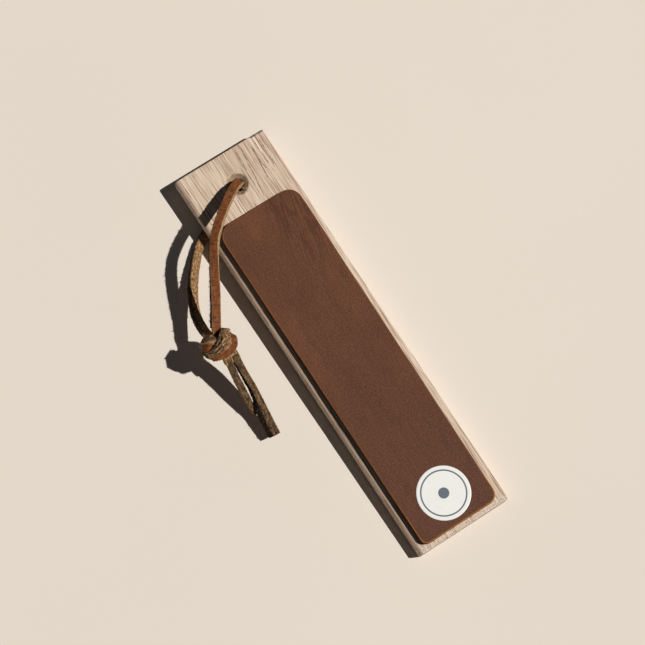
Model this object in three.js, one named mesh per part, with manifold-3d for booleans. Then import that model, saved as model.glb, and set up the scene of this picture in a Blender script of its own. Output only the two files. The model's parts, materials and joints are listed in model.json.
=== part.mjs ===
// Hand strop for edge tools: a hardwood paddle faced with a glued leather pad, and a leather lace looped
// through a countersunk hole at one end and tied in a doubled overhand knot.
//
// Millimetres, +Z up. z = 0 is the surface that the strop lies on and the origin is under the board's middle.
// +X points to the hole end. The lace passes under that end, so the board lies tilted on it.
// +Y is the side on which the lace leaves the board.
import * as THREE from 'three';
import { mergeVertices } from 'three/addons/utils/BufferGeometryUtils.js';
import Module from 'manifold-3d';

const wasm = await Module();
wasm.setup();

// ---------------------------------------------------------------- driving dimensions
const BOARD = { length: 214, width: 50, thickness: 8, cornerRadius: 0.8, ease: 0.4 };
const TILT = THREE.MathUtils.degToRad(1.2);

const HOLE = { fromEnd: 16.9, radius: 3.25, sinkRadius: 5.5, sinkDepth: 2.25 };

// The pad was cut by hand: it widens a little towards the hole, and each corner is rounded differently.
const PAD = { thickness: 3.1, ease: 0.3 };
const PAD_CORNERS = [
  { x: -104.4, y: -20.8, radius: 5.2 },
  { x: 75.1, y: -22.3, radius: 6.9 },
  { x: 74.6, y: 21.8, radius: 7.6 },
  { x: -104.4, y: 21.4, radius: 3.6 },
];
const GLUE = { thickness: 0.1, inset: 0.6 };
const LAYER_GAP = 0.1;

const LABEL = { radius: 13, thickness: 0.2, fromEnd: 18.5 };

const LACE_ACROSS = 3.5;
const LACE_SIDES = 8;
const STRAND_STEP = 3.2;
const TAIL_STEP = 7;
const KNOT = { centre: [26.2, 51.3, 23.0], axisRadius: 6.5, sideRadius: 9, heightRadius: 7.2 };
const KNOT_TURN = THREE.MathUtils.degToRad(176);

// ---------------------------------------------------------------- lace routes, hand placed
// Both strands start where they meet inside the hole. The upper one springs up out of the hole in a wide
// arch, and the lower one turns flat under the board, lies on the table and climbs to the knot.
const UPPER_ROUTE = [
  [90.06, -1.13, 10.75], [89.95, -0.92, 12.7], [89.62, -0.3, 14.55], [89.11, 0.68, 16.15], [88.46, 1.9, 17.5],
  [87.66, 3.3, 18.6], [86.67, 4.9, 19.55], [85.17, 7.1, 20.8], [83.0, 9.95, 22.6], [80.15, 13.5, 24.8],
  [76.85, 17.5, 27.0], [73.1, 21.65, 28.9], [68.6, 26.2, 30.2], [63.6, 29.9, 30.7], [58.4, 33.1, 30.3],
  [53.0, 36.2, 29.3], [47.4, 39.5, 27.8], [41.6, 43.0, 26.1], [36.8, 46.0, 24.9], [33.1, 48.3, 24.2],
];
const LOWER_ROUTE = [
  [90.06, -1.13, 10.3], [90.0, -0.86, 8.15], [89.76, -0.06, 6.1], [89.38, 1.23, 4.36], [88.82, 2.93, 3.01],
  [88.13, 4.9, 2.16], [87.28, 6.95, 1.81], [85.6, 10.9, 1.79], [83.7, 15.3, 1.79], [81.8, 19.8, 1.79],
  [79.8, 24.2, 1.79], [77.4, 28.6, 1.9], [74.2, 32.6, 2.4], [70.4, 36.2, 3.2], [66.4, 39.7, 4.1],
  [62.1, 43.0, 5.1], [57.6, 46.0, 6.3], [52.8, 48.7, 7.8], [47.6, 51.0, 9.8], [42.4, 52.3, 12.2],
  [37.9, 52.8, 14.9], [34.4, 52.9, 17.5],
];
const LONG_TAIL_ROUTE = [
  [18.87, 47.8, 20.8], [16.27, 47.9, 18.6], [13.47, 48.05, 16.7], [10.57, 48.2, 15.2], [7.57, 48.3, 14.0],
  [4.47, 48.45, 13.0], [1.37, 48.6, 12.0], [-1.73, 48.8, 11.2], [-4.83, 49.05, 10.5], [-7.83, 49.3, 9.9],
  [-10.83, 49.55, 9.4], [-13.73, 49.8, 8.8], [-16.63, 50.05, 8.2], [-19.43, 50.3, 7.6], [-22.03, 50.5, 7.1],
];
const SHORT_TAIL_ROUTE = [
  [18.55, 51.5, 21.0], [16.55, 51.7, 19.5], [14.55, 51.9, 18.0], [12.55, 52.1, 16.7], [10.55, 52.25, 15.4],
  [8.55, 52.4, 14.2], [6.55, 52.5, 13.1], [4.65, 52.6, 12.2], [2.75, 52.7, 11.2], [0.85, 52.8, 10.3],
  [-1.05, 52.85, 9.4], [-2.95, 52.9, 8.5], [-4.85, 52.9, 7.6], [-6.65, 52.9, 6.8], [-8.35, 52.85, 6.1],
];

// ---------------------------------------------------------------- worked out from them
const holeX = BOARD.length / 2 - HOLE.fromEnd;
const glueBase = BOARD.thickness + LAYER_GAP;
const padBase = glueBase + GLUE.thickness + LAYER_GAP;
const labelBase = padBase + PAD.thickness + LAYER_GAP;

const MATERIALS = {
  timber: new THREE.MeshStandardMaterial({ color: 0xd0baa3, roughness: 0.75, metalness: 0 }),
  glue: new THREE.MeshStandardMaterial({ color: 0x8a6a44, roughness: 0.5, metalness: 0 }),
  padLeather: new THREE.MeshStandardMaterial({ color: 0x61422e, roughness: 0.6, metalness: 0 }),
  laceLeather: new THREE.MeshStandardMaterial({ color: 0x935832, roughness: 0.7, metalness: 0 }),
  label: new THREE.MeshStandardMaterial({ color: 0xf1efe8, roughness: 0.45, metalness: 0 }),
};

// ---------------------------------------------------------------- shapes
function rectangleCorners(length, width, radius) {
  const x = length / 2;
  const y = width / 2;
  return [{ x: -x, y: -y, radius }, { x, y: -y, radius }, { x, y, radius }, { x: -x, y, radius }];
}

// An outline through anticlockwise corners, each rounded by an arc of its own radius.
function roundedOutline(corners) {
  const shape = new THREE.Shape();
  const spots = corners.map(({ x, y }) => new THREE.Vector2(x, y));
  corners.forEach(({ radius }, index) => {
    const here = spots[index];
    const before = spots[(index + spots.length - 1) % spots.length];
    const after = spots[(index + 1) % spots.length];
    const arriving = here.clone().sub(before).normalize();
    const leaving = after.clone().sub(here).normalize();
    const turn = Math.atan2(arriving.cross(leaving), arriving.dot(leaving));
    const start = here.clone().addScaledVector(arriving, -radius * Math.tan(turn / 2));
    const centre = start.clone().add(new THREE.Vector2(-arriving.y, arriving.x).multiplyScalar(radius));
    const startAngle = Math.atan2(start.y - centre.y, start.x - centre.x);
    if (index === 0) {
      shape.moveTo(start.x, start.y);
    }
    shape.absarc(centre.x, centre.y, radius, startAngle, startAngle + turn);
  });
  shape.closePath();
  return shape;
}

// A flat piece with its underside at z = 0 and both rims eased by the same amount.
function easedSlab(corners, { thickness, ease }) {
  const geometry = new THREE.ExtrudeGeometry(roundedOutline(corners), {
    depth: thickness - 2 * ease,
    curveSegments: 5,
    bevelThickness: ease,
    bevelSize: ease,
    bevelOffset: -ease,
    bevelSegments: 2,
  });
  return geometry.translate(0, 0, ease);
}

// The glue's outline: the pad's, drawn in on every side.
function glueLayer() {
  const corners = PAD_CORNERS.map(({ x, y, radius }) => ({
    x: x - Math.sign(x) * GLUE.inset,
    y: y - Math.sign(y) * GLUE.inset,
    radius: radius - GLUE.inset,
  }));
  const settings = { depth: GLUE.thickness, curveSegments: 5, bevelEnabled: false };
  return new THREE.ExtrudeGeometry(roundedOutline(corners), settings);
}

function toManifold(geometry) {
  const bare = geometry.clone();
  bare.deleteAttribute('normal');
  bare.deleteAttribute('uv');
  const merged = mergeVertices(bare, 1e-5);
  return new wasm.Manifold(new wasm.Mesh({
    numProp: 3,
    vertProperties: new Float32Array(merged.attributes.position.array),
    triVerts: new Uint32Array(merged.index.array),
  }));
}

function toGeometry(manifold) {
  const mesh = manifold.getMesh();
  const geometry = new THREE.BufferGeometry();
  geometry.setAttribute('position', new THREE.BufferAttribute(new Float32Array(mesh.vertProperties), 3));
  geometry.setIndex(new THREE.BufferAttribute(new Uint32Array(mesh.triVerts), 1));
  geometry.computeVertexNormals();
  return geometry;
}

// The hole's drill: a straight shank with a 45 degree countersink at each face of the board.
function holeCutter() {
  const { radius, sinkRadius, sinkDepth } = HOLE;
  const past = 1;
  const profile = [
    [0, -past], [sinkRadius, -past], [sinkRadius, 0], [radius, sinkDepth],
    [radius, BOARD.thickness - sinkDepth], [sinkRadius, BOARD.thickness],
    [sinkRadius, BOARD.thickness + past], [0, BOARD.thickness + past],
  ].map(([r, z]) => new THREE.Vector2(r, z));
  return new THREE.LatheGeometry(profile, 32).rotateX(Math.PI / 2).translate(holeX, 0, 0);
}

function drilledBoard() {
  const corners = rectangleCorners(BOARD.length, BOARD.width, BOARD.cornerRadius);
  const blank = easedSlab(corners, BOARD);
  return toGeometry(toManifold(blank).subtract(toManifold(holeCutter())));
}

// A plain round-sectioned tube along a route; its ends are cut square to the route.
// A full circle has twice as many sides as curveSegments.
function laceTube(route, step) {
  const points = route.map((point) => new THREE.Vector3(...point));
  const curve = new THREE.CatmullRomCurve3(points, false, 'catmullrom');
  const section = new THREE.Shape();
  section.absarc(0, 0, LACE_ACROSS / 2, 0, 2 * Math.PI);
  return new THREE.ExtrudeGeometry(section, {
    steps: Math.round(curve.getLength() / step),
    curveSegments: LACE_SIDES / 2,
    bevelEnabled: false,
    extrudePath: curve,
  });
}

// The outer shape of the knot, a blunt barrel lying along the lace.
function knotBody() {
  const rings = 10;
  const bluntness = 0.8;
  const profile = [];
  for (let ring = 0; ring <= rings; ring += 1) {
    const angle = -Math.PI / 2 + (Math.PI * ring) / rings;
    const radius = ring === 0 || ring === rings ? 0 : Math.cos(angle) ** bluntness;
    profile.push(new THREE.Vector2(radius, Math.sign(angle) * Math.abs(Math.sin(angle)) ** bluntness));
  }
  return new THREE.LatheGeometry(profile, 20)
    .rotateZ(-Math.PI / 2)
    .scale(KNOT.axisRadius, KNOT.sideRadius, KNOT.heightRadius)
    .rotateZ(KNOT_TURN)
    .translate(...KNOT.centre);
}

function labelDisc() {
  return new THREE.CylinderGeometry(LABEL.radius, LABEL.radius, LABEL.thickness, 40)
    .rotateX(Math.PI / 2)
    .translate(0, 0, LABEL.thickness / 2);
}

// ---------------------------------------------------------------- the strop
function piece(name, geometry, material, position = [0, 0, 0]) {
  const mesh = new THREE.Mesh(geometry, material);
  mesh.name = name;
  mesh.position.set(...position);
  return mesh;
}

// The paddle's own frame: z = 0 is the board's underside and x = y = 0 its middle.
function paddle() {
  const group = new THREE.Group();
  group.add(piece('timber_board', drilledBoard(), MATERIALS.timber));

  group.add(piece('glue_layer', glueLayer(), MATERIALS.glue, [0, 0, glueBase]));
  const pad = easedSlab(PAD_CORNERS, PAD);
  group.add(piece('stropping_leather', pad, MATERIALS.padLeather, [0, 0, padBase]));

  const labelX = -BOARD.length / 2 + LABEL.fromEnd;
  group.add(piece('round_label', labelDisc(), MATERIALS.label, [labelX, 0, labelBase]));

  // Turned up about the label end's lower edge, which stays on the table.
  group.rotation.y = -TILT;
  const lift = (BOARD.length / 2 - BOARD.ease) * Math.sin(TILT);
  group.position.set((BOARD.thickness / 2) * Math.sin(TILT), 0, lift);
  return group;
}

function lace() {
  const group = new THREE.Group();
  group.add(piece('lace_upper_strand', laceTube(UPPER_ROUTE, STRAND_STEP), MATERIALS.laceLeather));
  group.add(piece('lace_lower_strand', laceTube(LOWER_ROUTE, STRAND_STEP), MATERIALS.laceLeather));
  group.add(piece('lace_knot', knotBody(), MATERIALS.laceLeather));
  group.add(piece('lace_long_tail', laceTube(LONG_TAIL_ROUTE, TAIL_STEP), MATERIALS.laceLeather));
  group.add(piece('lace_short_tail', laceTube(SHORT_TAIL_ROUTE, TAIL_STEP), MATERIALS.laceLeather));
  return group;
}

const strop = new THREE.Group();
strop.add(paddle(), lace());

export default strop;
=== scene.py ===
import json
import math
import random

import bmesh
import bpy
import numpy as np
from mathutils import Matrix, Vector, noise


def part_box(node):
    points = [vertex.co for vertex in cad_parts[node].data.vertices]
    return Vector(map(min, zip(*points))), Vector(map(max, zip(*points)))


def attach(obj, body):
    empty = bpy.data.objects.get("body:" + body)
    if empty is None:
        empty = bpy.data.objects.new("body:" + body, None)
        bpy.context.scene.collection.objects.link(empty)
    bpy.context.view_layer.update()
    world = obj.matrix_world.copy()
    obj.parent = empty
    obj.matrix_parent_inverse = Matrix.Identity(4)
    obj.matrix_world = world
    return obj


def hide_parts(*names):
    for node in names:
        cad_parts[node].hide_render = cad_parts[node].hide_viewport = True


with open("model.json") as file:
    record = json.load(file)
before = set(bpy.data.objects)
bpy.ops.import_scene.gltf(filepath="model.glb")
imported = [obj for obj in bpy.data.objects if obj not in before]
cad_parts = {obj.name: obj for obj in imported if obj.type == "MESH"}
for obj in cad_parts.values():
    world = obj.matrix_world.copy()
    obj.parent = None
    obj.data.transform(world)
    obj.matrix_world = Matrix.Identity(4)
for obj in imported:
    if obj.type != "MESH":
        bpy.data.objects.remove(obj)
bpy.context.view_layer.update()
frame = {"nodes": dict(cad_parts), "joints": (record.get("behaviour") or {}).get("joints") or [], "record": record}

# A hand strop: a hardwood board with a leather pad glued on, and a leather lace looped through its hole.
# Metres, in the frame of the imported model: z = 0 is the table and +X points to the board's hole end.
MM = 0.001
MOUNTS = {mount["name"]: mount for mount in frame["record"]["mounts"]}
random.seed(20)

# ---- the lace
LACE_WIDTH = 0.0042
LACE_THICKNESS = 0.0030
LONG_TAIL_THICKNESS = 0.0034
LACE_RING_STEP = 0.0005
LACE_CORNER = 0.00045
TABLE_GAP = 0.00005

UPPER_LENGTH = 0.0845
LOWER_LENGTH = 0.0912
LONG_TAIL_LENGTH = 0.0438
SHORT_TAIL_LENGTH = 0.0309


def in_metres(route):
    """A route that is given in mm, to the nearest micrometre."""
    return [tuple(round(value * MM, 6) for value in point) for point in route]


# Each route runs along the middle of the lace, in mm.
UPPER_ROUTE = in_metres([
    (90.06, -1.13, 10.75), (89.95, -0.92, 12.7), (89.62, -0.3, 14.55), (89.11, 0.68, 16.15),
    (88.46, 1.9, 17.5), (87.66, 3.3, 18.6), (86.67, 4.9, 19.55), (85.17, 7.1, 20.8), (83, 9.95, 22.6),
    (80.15, 13.5, 24.8), (76.85, 17.5, 27), (73.1, 21.65, 28.9), (68.6, 26.2, 30.2), (63.6, 29.9, 30.7),
    (58.4, 33.1, 30.3), (53, 36.2, 29.3), (47.4, 39.5, 27.8), (41.6, 43, 26.1), (36.8, 46, 24.9),
    (33.1, 48.3, 24.2),
])
LOWER_ROUTE = in_metres([
    (90.06, -1.13, 10.3), (90, -0.86, 8.15), (89.76, -0.06, 6.1), (89.38, 1.23, 4.36), (88.82, 2.93, 3.01),
    (88.13, 4.9, 2.16), (87.28, 6.95, 1.81), (85.6, 10.9, 1.79), (83.7, 15.3, 1.79), (81.8, 19.8, 1.79),
    (79.8, 24.2, 1.79), (77.4, 28.6, 1.9), (74.2, 32.6, 2.4), (70.4, 36.2, 3.2), (66.4, 39.7, 4.1),
    (62.1, 43, 5.1), (57.6, 46, 6.3), (52.8, 48.7, 7.8), (47.6, 51, 9.8), (42.4, 52.3, 12.2),
    (37.9, 52.8, 14.9), (34.4, 52.9, 17.5),
])
LONG_TAIL_ROUTE = in_metres([
    (18.87, 47.8, 20.8), (16.27, 47.9, 18.6), (13.47, 48.05, 16.7), (10.57, 48.2, 15.2), (7.57, 48.3, 14),
    (4.47, 48.45, 13), (1.37, 48.6, 11.9), (-1.73, 48.8, 10.9), (-4.83, 49.05, 10), (-7.83, 49.3, 9.2),
    (-10.83, 49.55, 8.5), (-13.73, 49.8, 7.8), (-16.63, 50.05, 7.2), (-19.43, 50.3, 6.6),
    (-22.03, 50.5, 6.1),
])
SHORT_TAIL_ROUTE = in_metres([
    (18.55, 51.5, 21), (16.55, 51.7, 19.5), (14.55, 51.9, 18), (12.55, 52.1, 16.7), (10.55, 52.25, 15.4),
    (8.55, 52.4, 14.2), (6.55, 52.5, 13.1), (4.65, 52.6, 12.2), (2.75, 52.7, 11.2), (0.85, 52.8, 10.3),
    (-1.05, 52.85, 9.4), (-2.95, 52.9, 8.5), (-4.85, 52.9, 7.6), (-6.65, 52.9, 6.8), (-8.35, 52.85, 6.1),
])

# The way that the lace's smooth grain side faces at some of a route's points, by point number.
UPPER_FACES = {
    0: (0.45, -0.89, 0), 3: (0.35, -0.55, 0.75), 6: (0, 0.1, 0.95), 9: (-0.05, 0.22, 0.95),
    12: (0, 0.36, 0.93), 14: (-0.16, 0.16, 0.97), 16: (-0.28, 0, 0.95), 19: (-0.32, -0.08, 0.95),
}
LOWER_FACES = {
    0: (0.45, -0.89, 0), 3: (0.35, -0.55, -0.75), 6: (0, -0.1, -1), 11: (0.1, 0, -1),
    13: (0.26, -0.01, -0.96), 16: (0.42, 0.28, -0.86), 21: (0.42, 0.28, -0.86),
}
LONG_TAIL_FACES = {
    0: (0.3, 0.1, -0.94), 4: (0.36, 0.14, -0.92), 8: (0.47, 0.39, -0.79), 14: (0.45, 0.34, -0.82),
}
SHORT_TAIL_FACES = {0: (0.35, 0.1, -0.92), 5: (0.38, 0.2, -0.9), 14: (0.38, 0.2, -0.9)}


def smooth_route(route, closed=False):
    """Points LACE_RING_STEP apart along the Catmull-Rom curve through the route, and their route numbers."""
    points = np.array(route, float)
    if closed:
        padded = np.vstack([points[-1:], points, points[:2]])
        spans = len(points)
    else:
        padded = np.vstack([2 * points[0] - points[1], points, 2 * points[-1] - points[-2]])
        spans = len(points) - 1
    fine, numbers = [], []
    for span in range(spans):
        before, start, end, after = padded[span:span + 4]
        for t in np.linspace(0, 1, 24, endpoint=False):
            ahead, back = (end - before) / 2, (after - start) / 2
            fine.append(
                (2 * start - 2 * end + ahead + back) * t ** 3
                + (3 * end - 3 * start - 2 * ahead - back) * t ** 2 + ahead * t + start
            )
            numbers.append(span + t)
    fine.append(points[0] if closed else points[-1])
    numbers.append(spans)
    fine, numbers = np.array(fine), np.array(numbers, float)
    run = np.concatenate([[0], np.cumsum(np.linalg.norm(np.diff(fine, axis=0), axis=1))])
    rings = max(4, round(run[-1] / LACE_RING_STEP))
    stops = np.linspace(0, run[-1], rings + 1)
    if closed:
        stops = stops[:-1]
    even = np.column_stack([np.interp(stops, run, fine[:, axis]) for axis in range(3)])
    return even, np.interp(stops, run, numbers), stops


THIRDS = [2 * math.pi * k / 3 for k in range(3)]


def unit(rows):
    return rows / np.linalg.norm(rows, axis=-1, keepdims=True)


def bridge(rings):
    """Four-cornered faces between neighbouring rings that have equal numbers of points."""
    for low, high in zip(rings, rings[1:]):
        for k in range(len(low)):
            n = (k + 1) % len(low)
            yield low[k], low[n], high[n], high[k]


def add_object(name, data):
    made = bpy.data.objects.new(name, data)
    bpy.context.scene.collection.objects.link(made)
    return made


def finished(made, name):
    """Turns what was built with bmesh into a mesh."""
    mesh = bpy.data.meshes.new(name)
    made.to_mesh(mesh)
    made.free()
    return mesh


def lace_section(width, thickness):
    """The lace's cut: (across, through, side) of each point round it, side 0 grain, 1 cut edge, 2 flesh."""
    across, through, corner = width / 2, thickness / 2, LACE_CORNER
    bend = corner * 0.3
    flat = np.linspace(-1, 1, 11)
    upright = np.linspace(1, -1, 6)
    section = [(u * (across - corner), through, 0) for u in flat]
    section += [(across - bend, through - bend, 1)]
    section += [(across, v * (through - corner), 1) for v in upright]
    section += [(across - bend, -through + bend, 1)]
    section += [(-u * (across - corner), -through, 2) for u in flat]
    section += [(-across + bend, -through + bend, 1)]
    section += [(-across, -v * (through - corner), 1) for v in upright]
    section += [(-across + bend, through - bend, 1)]
    return section


def above_table(point):
    """The point, lifted where it would lie below the surface that the strop rests on."""
    return Vector((point[0], point[1], max(point[2], TABLE_GAP)))


class Lace:
    """Collects strips of lace, with their fibres, into one mesh."""

    def __init__(self):
        self.points, self.faces, self.place, self.side, self.soil = [], [], [], [], []

    def vertex(self, point, place, side, soil=0):
        self.points.append(point)
        self.place.append(place)
        self.side.append(side)
        self.soil.append(soil)
        return len(self.points) - 1

    def strip(self, route, facing, seed, width=LACE_WIDTH, thickness=LACE_THICKNESS, closed=False,
              creased=(), widths=((0, 1, 1), (1, 1, 1)), slants=((0, 0), (1, 0)), torn=(1, 1),
              hairs=(2.2, 2.2), shreds=(0, 0), soiled=(0, 0, 0)):
        """Adds one length of lace. facing gives the grain side's direction by route number. creased lists
        where the grain side wrinkles, in metres from the start, and how far each wrinkling spreads. widths
        gives the share of the full width at shares of the length, for each cut edge. slants gives how far
        in mm the first cut edge leans out on the grain side. torn, hairs and shreds are the raggedness, the
        fibres per mm and the torn shreds per mm of the two cut edges. soiled gives how far those edges
        and the flesh side are darkened: painted shade on cut edges turned from the light and in the
        knot's creases; where the flesh side is darkened, its dark blotches also show more. The cut edge on
        the side of tangent cross grain is always the second."""
        centre, numbers, run = smooth_route(route, closed)
        keys = sorted(facing)
        hints = np.column_stack([
            np.interp(numbers, keys, [facing[key][axis] for key in keys]) for axis in range(3)
        ])
        if closed:
            tangent = unit(np.roll(centre, -1, axis=0) - np.roll(centre, 1, axis=0))
        else:
            tangent = unit(np.gradient(centre, axis=0))
        up = unit(hints - tangent * np.sum(hints * tangent, axis=1, keepdims=True))
        sideways = np.cross(tangent, up)
        section = lace_section(width, thickness)
        rings = []
        stops, *shares = zip(*widths)
        for i, middle in enumerate(centre):
            along = run[i] / MM
            share = run[i] / run[-1]
            swell = [np.interp(share, stops, row) for row in shares]
            swell = [row * (1 + 0.05 * noise.noise((along * 0.13, seed, 0.5))) for row in swell]
            slant = np.interp(share, *zip(*slants))
            crease = max([math.exp(-((run[i] - at) / spread) ** 2) for at, spread in creased] or [0])
            ring = []
            for across, through, side in section:
                u, v = across / MM, through / MM
                edge = int(u > 0)
                push_across, push_through = self.roughness(along, u, v, side, seed, crease)
                push_across *= torn[edge]
                if u < 0:
                    push_across += slant * u / (width / MM) * (1 + 2 * v / (thickness / MM))
                point = above_table(
                    middle
                    + sideways[i] * (across * swell[edge] + push_across * MM)
                    + up[i] * (through + push_through * MM)
                )
                # Painted shade: how much darker this point is coloured, mostly on cut edges turned from the light
                # and in the knot.
                soil = (0, soiled[edge], soiled[2])[side]
                ring.append(self.vertex(point, (along + seed * 37, u, v), side, soil))
            rings.append(ring)
        self.skin(rings, closed, centre, tangent, seed)
        for counts, size in ((hairs, 1), (shreds, 1.5)):
            self.fibres(rings, section, sideways, up, tangent, run, counts, size)

    @staticmethod
    def roughness(along, u, v, side, seed, crease):
        """How far, in mm, a point of the section is pushed across and through the lace."""
        if side == 1:
            broad = noise.noise((along * 0.55, v * 0.7, seed + math.copysign(5, u)))
            fine = noise.noise((along * 1.7, v * 1.6, seed + math.copysign(9, u)))
            return math.copysign(0.16 * broad + 0.2 * fine, u), 0
        if side == 2:
            nap = noise.noise((along * 0.75, u * 1.1, seed + 31))
            fine = noise.noise((along * 2, u * 2.3, seed + 47))
            return 0, -(0.16 * nap + 0.14 * fine)
        slow = noise.noise((along * 0.3, u * 0.35, seed + 3))
        wrinkle = noise.noise((along * 1.25, u * 0.22, seed + 11))
        return 0, 0.06 * slow - crease * 0.22 * max(0, wrinkle + 0.15)

    def skin(self, rings, closed, centre, tangent, seed):
        """Faces all round the strip, and domed ends unless it is closed."""
        around = len(rings[0])
        pairs = list(zip(rings, rings[1:]))
        if closed:
            pairs.append((rings[-1], rings[0]))
        for first, second in pairs:
            for k in range(around):
                self.faces.append((first[k], second[k], second[(k + 1) % around], first[(k + 1) % around]))
        if closed:
            return
        for ring, outward, middle in ((rings[0], -1, centre[0]), (rings[-1], 1, centre[-1])):
            direction = tangent[0 if outward < 0 else -1] * outward
            rim = np.array([tuple(self.points[k]) for k in ring])
            inner = []
            for share, proud in ((0.82, 0.00012), (0.4, 0.0002)):
                loop = []
                for k, edge in zip(ring, rim):
                    u, v = self.place[k][1], self.place[k][2]
                    bumpy = noise.noise((u * 1.7, v * 1.7, seed + outward * 13 + share))
                    point = middle + (edge - middle) * share + direction * (proud + bumpy * 0.0001)
                    loop.append(self.vertex(point, (seed * 37 + u * 0.3, u, v), 1))
                inner.append(loop)
            hub = self.vertex(middle + direction * 0.0002, (seed * 37, 0, 0), 1)
            cap = list(bridge([ring, *inner]))
            cap += [(inner[-1][k], inner[-1][(k + 1) % around], hub) for k in range(around)]
            self.faces += cap if outward > 0 else [face[::-1] for face in cap]

    def fibres(self, rings, section, sideways, up, tangent, run, counts, size):
        """Loose fibres along both cut edges, so many per mm of each."""
        for sign, per_mm in zip((-1, 1), counts):
            edge = [k for k, (across, through, side) in enumerate(section) if side == 1 and across * sign > 0]
            for _ in range(int(run[-1] / MM * per_mm)):
                i = random.randrange(1, len(rings) - 1)
                k = random.choice(edge)
                root = Vector(self.points[rings[i][k]])
                length = random.uniform(0.3, 0.75) * MM * (1.6 if random.random() < 0.15 else size)
                lean = Vector(sideways[i]) * sign + Vector(up[i]) * random.uniform(-0.9, 0.3)
                lean += Vector(tangent[i]) * random.uniform(-1.1, 1.1)
                lean.normalize()
                curl = Vector([random.uniform(-0.45, 0.45) for _ in range(3)])
                thick = random.uniform(0.05, 0.11) * MM * size ** 2
                self.hair(root - lean * 0.1 * MM, lean, curl, length, thick, rings[i][k])

    def hair(self, root, lean, curl, length, thick, source):
        """One fibre, coloured like the point of the strip that it grows from."""
        look = (self.place[source], 1, self.soil[source])
        first = lean.orthogonal().normalized()
        second = lean.cross(first)
        loops = []
        for share, radius in ((0, thick), (0.55, thick * 0.7)):
            middle = root + (lean * share + curl * share * share) * length
            sides = [first * math.cos(turn) + second * math.sin(turn) for turn in THIRDS]
            loops.append([self.vertex(above_table(middle + away * radius), *look) for away in sides])
        tip = self.vertex(above_table(root + (lean + curl) * length), *look)
        self.faces += bridge(loops)
        self.faces += [(loops[1][k], loops[1][(k + 1) % 3], tip) for k in range(3)]
        self.faces.append(tuple(reversed(loops[0])))

    def build(self, name, material):
        mesh = bpy.data.meshes.new(name)
        mesh.from_pydata([tuple(p) for p in self.points], [], self.faces)
        mesh.polygons.foreach_set("use_smooth", [True] * len(mesh.polygons))
        add_attribute(mesh, "place", self.place)
        add_attribute(mesh, "side", [(s == 0, s == 1, s == 2) for s in self.side])
        add_attribute(mesh, "soil", [(s, 0, 0) for s in self.soil])
        mesh.materials.append(material)
        return add_object(name, mesh)


def add_attribute(mesh, name, rows):
    attribute = mesh.attributes.new(name, "FLOAT_VECTOR", "POINT")
    attribute.data.foreach_set("vector", np.array(rows, np.float32).ravel())


# ---- materials
class Shade:
    """A node material. Each method adds a node and returns its output socket."""

    def __init__(self, name, roughness=0.6, specular=0.4):
        self.material = bpy.data.materials.new(name)
        self.material.use_nodes = True
        self.tree = self.material.node_tree
        self.shader = self.tree.nodes["Principled BSDF"]
        self.shader.inputs["Roughness"].default_value = roughness
        self.shader.inputs["Specular IOR Level"].default_value = specular

    def node(self, kind, inputs=(), **settings):
        made = self.tree.nodes.new(kind)
        for key, value in settings.items():
            setattr(made, key, value)
        for key, value in dict(inputs).items():
            if isinstance(value, bpy.types.NodeSocket):
                self.tree.links.new(value, made.inputs[key])
            elif value is not None:
                made.inputs[key].default_value = value
        return made

    def attribute(self, name):
        return self.node("ShaderNodeAttribute", attribute_name=name).outputs["Vector"]

    def split(self, vector):
        return self.node("ShaderNodeSeparateXYZ", {0: vector}).outputs

    def shift(self, vector, offset):
        return self.node("ShaderNodeVectorMath", {0: vector, 1: offset}, operation="ADD").outputs[0]

    def shift_y(self, vector, amount):
        return self.shift(vector, self.node("ShaderNodeCombineXYZ", {"Y": amount}).outputs[0])

    def texture(self, kind, output, vector, scale, inputs=()):
        """A texture at one scale, or with one scale for each axis."""
        if isinstance(scale, tuple):
            scaled = self.node("ShaderNodeVectorMath", {0: vector, 1: scale}, operation="MULTIPLY")
            vector, scale = scaled.outputs[0], 1.0
        return self.node(kind, {"Vector": vector, "Scale": scale, **dict(inputs)}).outputs[output]

    def noise(self, vector, scale, detail=3, roughness=0.5, distortion=0):
        inputs = {"Detail": detail, "Roughness": roughness, "Distortion": distortion}
        return self.texture("ShaderNodeTexNoise", "Fac", vector, scale, inputs)

    def cells(self, vector, scale):
        return self.texture("ShaderNodeTexVoronoi", "Distance", vector, scale)

    def rise(self, value, start, end, top=1):
        """0 up to where the value is at start, and on to top where it is at end and beyond."""
        return self.node("ShaderNodeMapRange", {0: value, 1: start, 2: end, 3: 0, 4: top}).outputs[0]

    def ramp(self, value, *stops):
        made = self.node("ShaderNodeValToRGB", {"Fac": value})
        elements = made.color_ramp.elements
        for _ in stops[2:]:
            elements.new(0.5)
        for element, (position, colour) in zip(elements, stops):
            element.position = position
            element.color = (*(linear(colour) if isinstance(colour, tuple) else (colour,) * 3), 1)
        return made.outputs["Color"]

    def mix(self, factor, first, second):
        first, second = ((*linear(c), 1) if isinstance(c, tuple) else c for c in (first, second))
        return self.node("ShaderNodeMix", {0: factor, 6: first, 7: second}, data_type="RGBA").outputs[2]

    def tint(self, base, value, low, high, colour):
        """The base, tinted with the colour by a ramp of the value."""
        return self.mix(self.ramp(value, low, high), base, colour)

    def math(self, operation, first, second=0):
        return self.node("ShaderNodeMath", {0: first, 1: second}, operation=operation).outputs[0]

    def times(self, first, second):
        return self.math("MULTIPLY", first, second)

    def plus(self, first, second):
        return self.math("ADD", first, second)

    def minus(self, first, second):
        return self.math("SUBTRACT", first, second)

    def bump(self, height, distance, strength=1, below=None):
        inputs = {"Height": height, "Distance": distance, "Strength": strength, "Normal": below}
        return self.node("ShaderNodeBump", inputs).outputs["Normal"]

    def done(self, colour=None, roughness=None, normal=None):
        for key, value in (("Base Color", colour), ("Roughness", roughness), ("Normal", normal)):
            if value is not None:
                self.tree.links.new(value, self.shader.inputs[key])
        return self.material


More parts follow.
